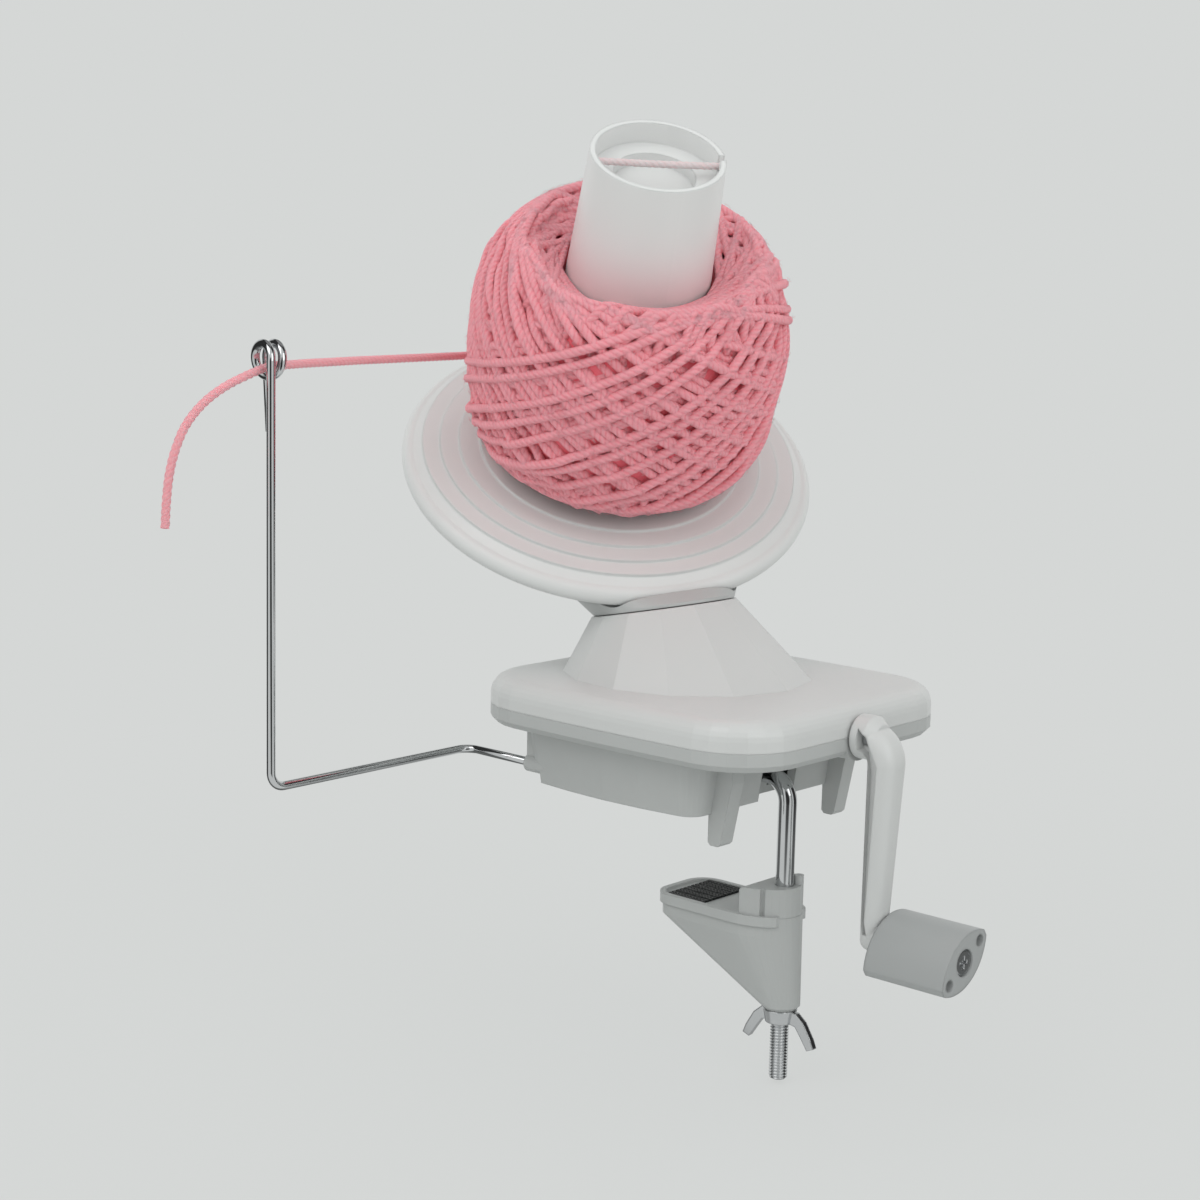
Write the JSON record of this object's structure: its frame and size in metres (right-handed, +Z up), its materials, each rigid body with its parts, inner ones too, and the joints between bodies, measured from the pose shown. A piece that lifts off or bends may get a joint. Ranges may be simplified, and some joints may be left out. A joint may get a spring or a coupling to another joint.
{
  "type": "yarn ball winder",
  "caption": "Table-clamped hand-cranked yarn ball winder: a tilted spool turns and orbits on a neck as yarn runs through a wire guide and winds into a ball.",
  "frame": {"origin": "on the table top under the middle of the base, on its flat underside", "axes": "+X along the crank axle towards the crank, +Y across the body away from the guide arm, +Z up"},
  "size_m": [0.2293, 0.2436, 0.3062],
  "materials": {
    "white_plastic": "smooth white moulding with a soft gloss",
    "grey_plastic": "fine satin mid-grey moulding",
    "gear_plastic": "dull off-white gear plastic",
    "chrome": "bright plated steel",
    "steel": "plain turned steel",
    "yarn": "soft plied pink yarn",
    "pad_rubber": "black ribbed rubber"
  },
  "bodies": {
    "base": {"base_housing": "grey_plastic", "top_cover": "white_plastic", "cover_screws": "steel", "fixed_post": "steel", "sun_pinion": "gear_plastic", "clamp_rod": "chrome"},
    "crank": {"crank_shaft": "steel", "crank_gear": "gear_plastic", "crank_arm": "white_plastic", "knob_screw": "steel"},
    "knob": {"crank_knob": "grey_plastic"},
    "carrier": {"tilt_carrier": "grey_plastic", "carrier_sleeve": "steel", "carrier_pinion": "gear_plastic", "spool_spindle": "steel", "spindle_washer": "steel", "spindle_screw": "steel"},
    "spool": {"spool_disc": "white_plastic", "ring_gear": "gear_plastic", "spool_tube": "white_plastic", "yarn_core": "yarn", "yarn_winding": "yarn", "yarn_tail": "yarn"},
    "guide": {"guide_arm": "chrome", "yarn_strand": "yarn"},
    "jaw": {"clamp_jaw": "grey_plastic", "jaw_pad": "pad_rubber"},
    "nut": {"wing_nut": "chrome"}
  },
  "joints": [
    {"name": "crank_turn", "type": "hinge", "parent": "base", "child": "crank", "pos_m": [0, 0, 0.0255], "axis": [1, 0, 0], "continuous": true, "deforming": ["yarn_strand"]},
    {"name": "knob_spin", "type": "hinge", "parent": "crank", "child": "knob", "pos_m": [0.08, 0, -0.038], "axis": [1, 0, 0], "continuous": true},
    {"name": "carrier_turn", "type": "hinge", "parent": "base", "child": "carrier", "pos_m": [-0.021, 0, 0.0555], "axis": [-0.2079, 0, 0.9781], "continuous": true, "deforming": ["yarn_strand"]},
    {"name": "spool_spin", "type": "hinge", "parent": "carrier", "child": "spool", "pos_m": [-0.03971, 0, 0.14353], "axis": [0.437, -0.3202, 0.8406], "continuous": true, "deforming": ["yarn_strand"]},
    {"name": "guide_swing", "type": "hinge", "parent": "base", "child": "guide", "pos_m": [-0.044, -0.04, 0.0055], "axis": [-1, 0, 0], "range_deg": [-3, 12], "deforming": ["yarn_strand"]},
    {"name": "jaw_slide", "type": "slide", "parent": "base", "child": "jaw", "axis": [0, 0, 1], "range_m": [-0.015, 0.022]},
    {"name": "nut_turn", "type": "hinge", "parent": "jaw", "child": "nut", "pos_m": [0.033, 0, -0.075], "axis": [0, 0, 1], "range_deg": [-5400, 7920]}
  ],
  "couplings": [
    {"joint": "carrier_turn", "follows": "crank_turn", "ratio": 2.5},
    {"joint": "spool_spin", "follows": "crank_turn", "ratio": -0.37975},
    {"joint": "nut_turn", "follows": "jaw_slide", "rad_per_m": 6283.2}
  ]
}
